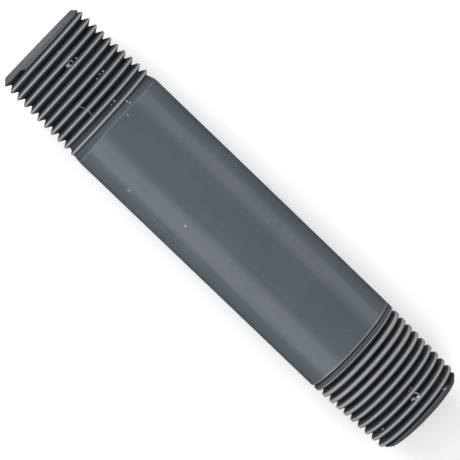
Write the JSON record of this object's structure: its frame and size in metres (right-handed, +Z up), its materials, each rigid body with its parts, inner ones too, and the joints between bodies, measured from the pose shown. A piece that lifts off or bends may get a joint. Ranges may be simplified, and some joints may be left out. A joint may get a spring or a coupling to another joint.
{
  "type": "threaded pipe nipple",
  "caption": "Straight thick-walled grey plastic pipe nipple with an external taper pipe thread on each end and a plain barrel between them.",
  "frame": {"origin": "on the pipe's axis, midway between the two end faces", "axes": "+X along the pipe's axis, from the left end to the right end; +Z up with the nipple lying on its side; +Y across"},
  "size_m": [0.1016, 0.0214, 0.0214],
  "materials": {
    "extruded_plastic": "satin extruded pipe skin, dark blue-grey, with faint lengthwise draw lines",
    "cut_plastic": "cut plastic, dull, with fine turning marks and torn thread crests"
  },
  "bodies": {
    "root": {"left_threaded_end": "cut_plastic", "barrel": "extruded_plastic", "right_threaded_end": "cut_plastic"}
  },
  "joints": []
}
